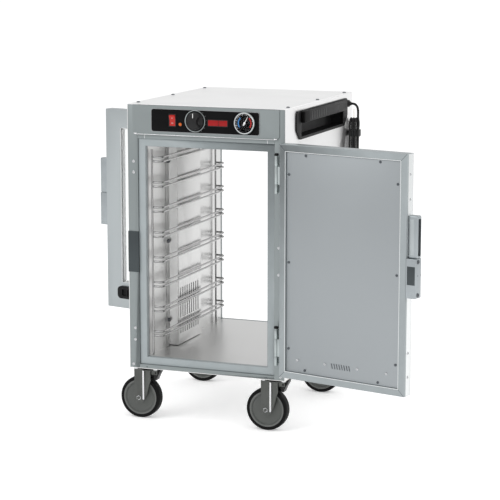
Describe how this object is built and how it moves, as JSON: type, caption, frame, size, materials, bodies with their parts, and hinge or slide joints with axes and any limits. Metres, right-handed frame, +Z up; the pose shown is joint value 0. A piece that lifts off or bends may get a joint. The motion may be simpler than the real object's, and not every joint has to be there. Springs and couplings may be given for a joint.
{
  "type": "insulated food carrier",
  "caption": "Insulated heated food carrier on swivel casters, with pan slides, a control panel, side handles, a solid front door and a glazed rear door.",
  "frame": {"origin": "on the floor below the middle of the cabinet, with both doors open", "axes": "+X across the front towards the front door's hinges, +Y from the front to the rear, +Z up through the top cover"},
  "size_m": [1.4312, 0.9378, 1.003],
  "materials": {
    "aluminium_skin": "bright satin sheet",
    "anodised_frame": "satin blue-grey",
    "breaker_grey": "satin blue-grey extrusion",
    "stainless": "polished stainless sheet and wire",
    "foam": "rigid insulating foam",
    "panel_black": "gloss black printed film",
    "knob_black": "satin black moulding",
    "bezel_silver": "satin plated ring",
    "red_lens": "translucent red",
    "amber_lens": "translucent amber",
    "white_print": "white enamel",
    "motor_grey": "dark enamel",
    "moulded_black": "textured black moulding",
    "strike_grey": "dark grey satin",
    "cast_grey": "polished die casting",
    "hinge_steel": "satin stainless",
    "screw_steel": "bright zinc",
    "gasket_grey": "satin grey vinyl",
    "door_sheet": "satin blue-grey sheet",
    "window_glass": "clear toughened glass",
    "fork_grey": "dark grey enamel",
    "plate_zinc": "bright zinc plate",
    "wheel_black": "black tread on a dark grey hub",
    "cord_black": "black cable jacket"
  },
  "bodies": {
    "cabinet": {"side_panel_left": "aluminium_skin", "side_panel_right": "aluminium_skin", "top_cover": "aluminium_skin", "base_panel": "aluminium_skin", "front_frame": "anodised_frame", "rear_frame": "anodised_frame", "control_fascia": "anodised_frame", "breaker_strips": "breaker_grey", "cavity_liner": "stainless", "air_duct": "stainless", "slide_rack_left": "stainless", "slide_rack_right": "stainless", "insulation": "foam", "control_overlay": "panel_black", "rocker_housing": "knob_black", "knob_bezel": "bezel_silver", "thermometer_case": "bezel_silver", "display_lens": "red_lens", "indicator_lamp": "amber_lens", "thermostat_body": "motor_grey", "blower_motor": "motor_grey", "heater_element": "motor_grey", "side_handle_left": "moulded_black", "side_handle_right": "moulded_black", "cord_gland": "moulded_black", "cord_plug": "moulded_black", "strike_plates": "strike_grey", "hinge_frame_leaves": "hinge_steel", "hinge_pins": "hinge_steel", "cabinet_screws": "screw_steel", "caster_plates": "plate_zinc", "power_cord": "cord_black", "cord_hank": "cord_black"},
    "front_door": {"front_door_skin": "door_sheet", "front_door_gasket": "gasket_grey", "front_door_leaves": "hinge_steel", "front_vent_cover": "moulded_black", "front_door_latch": "cast_grey", "front_door_core": "foam", "front_door_panel": "door_sheet"},
    "rear_door": {"rear_door_skin": "door_sheet", "rear_door_gasket": "gasket_grey", "rear_door_leaves": "hinge_steel", "rear_vent_cover": "moulded_black", "rear_door_latch": "cast_grey", "rear_door_window": "window_glass"},
    "power_rocker": {"rocker_switch": "red_lens"},
    "heat_knob": {"thermostat_knob": "knob_black"},
    "gauge_needle": {"thermometer_needle": "white_print"},
    "fan": {"blower_wheel": "motor_grey"},
    "fork_front_left": {"caster_fork_front_left": "fork_grey"},
    "wheel_front_left": {"caster_wheel_front_left": "wheel_black"},
    "pedal_front_left": {"brake_pedal_front_left": "moulded_black"},
    "fork_front_right": {"caster_fork_front_right": "fork_grey"},
    "wheel_front_right": {"caster_wheel_front_right": "wheel_black"},
    "pedal_front_right": {"brake_pedal_front_right": "moulded_black"},
    "fork_rear_left": {"caster_fork_rear_left": "fork_grey"},
    "wheel_rear_left": {"caster_wheel_rear_left": "wheel_black"},
    "fork_rear_right": {"caster_fork_rear_right": "fork_grey"},
    "wheel_rear_right": {"caster_wheel_rear_right": "wheel_black"}
  },
  "joints": [
    {"name": "front_door_hinge", "type": "hinge", "parent": "cabinet", "child": "front_door", "pos_m": [0.238, -0.34, 0.55], "axis": [0, 0, 1], "range_deg": [-166.6, 8]},
    {"name": "rear_door_hinge", "type": "hinge", "parent": "cabinet", "child": "rear_door", "pos_m": [-0.238, 0.34, 0.55], "axis": [0, 0, 1], "range_deg": [-166.6, 8]},
    {"name": "rocker_tilt", "type": "hinge", "parent": "cabinet", "child": "power_rocker", "pos_m": [-0.1055, -0.321, 0.9575], "axis": [1, 0, 0], "range_deg": [-18, 0]},
    {"name": "knob_turn", "type": "hinge", "parent": "cabinet", "child": "heat_knob", "pos_m": [-0.0315, -0.3325, 0.9575], "axis": [0, 1, 0], "range_deg": [0, 290]},
    {"name": "needle_turn", "type": "hinge", "parent": "cabinet", "child": "gauge_needle", "pos_m": [0.1301, -0.3255, 0.9575], "axis": [0, 1, 0], "range_deg": [-163, 107]},
    {"name": "fan_spin", "type": "hinge", "parent": "cabinet", "child": "fan", "pos_m": [-0.095, 0.06, 0.914], "axis": [0, 0, 1], "continuous": true},
    {"name": "swivel_front_left", "type": "hinge", "parent": "cabinet", "child": "fork_front_left", "pos_m": [-0.214, -0.2555, 0.165], "axis": [0, 0, 1], "continuous": true},
    {"name": "roll_front_left", "type": "hinge", "parent": "fork_front_left", "child": "wheel_front_left", "pos_m": [-0.247, -0.2555, 0.067], "axis": [0, 1, 0], "continuous": true},
    {"name": "brake_front_left", "type": "hinge", "parent": "fork_front_left", "child": "pedal_front_left", "pos_m": [-0.192, -0.2555, 0.15], "axis": [0, 1, 0], "range_deg": [0, 12]},
    {"name": "swivel_front_right", "type": "hinge", "parent": "cabinet", "child": "fork_front_right", "pos_m": [0.214, -0.2555, 0.165], "axis": [0, 0, 1], "continuous": true},
    {"name": "roll_front_right", "type": "hinge", "parent": "fork_front_right", "child": "wheel_front_right", "pos_m": [0.181, -0.2555, 0.067], "axis": [0, 1, 0], "continuous": true},
    {"name": "brake_front_right", "type": "hinge", "parent": "fork_front_right", "child": "pedal_front_right", "pos_m": [0.236, -0.2555, 0.15], "axis": [0, 1, 0], "range_deg": [0, 12]},
    {"name": "swivel_rear_left", "type": "hinge", "parent": "cabinet", "child": "fork_rear_left", "pos_m": [-0.214, 0.2555, 0.165], "axis": [0, 0, 1], "continuous": true},
    {"name": "roll_rear_left", "type": "hinge", "parent": "fork_rear_left", "child": "wheel_rear_left", "pos_m": [-0.247, 0.2555, 0.067], "axis": [0, 1, 0], "continuous": true},
    {"name": "swivel_rear_right", "type": "hinge", "parent": "cabinet", "child": "fork_rear_right", "pos_m": [0.214, 0.2555, 0.165], "axis": [0, 0, 1], "continuous": true},
    {"name": "roll_rear_right", "type": "hinge", "parent": "fork_rear_right", "child": "wheel_rear_right", "pos_m": [0.181, 0.2555, 0.067], "axis": [0, 1, 0], "continuous": true}
  ]
}
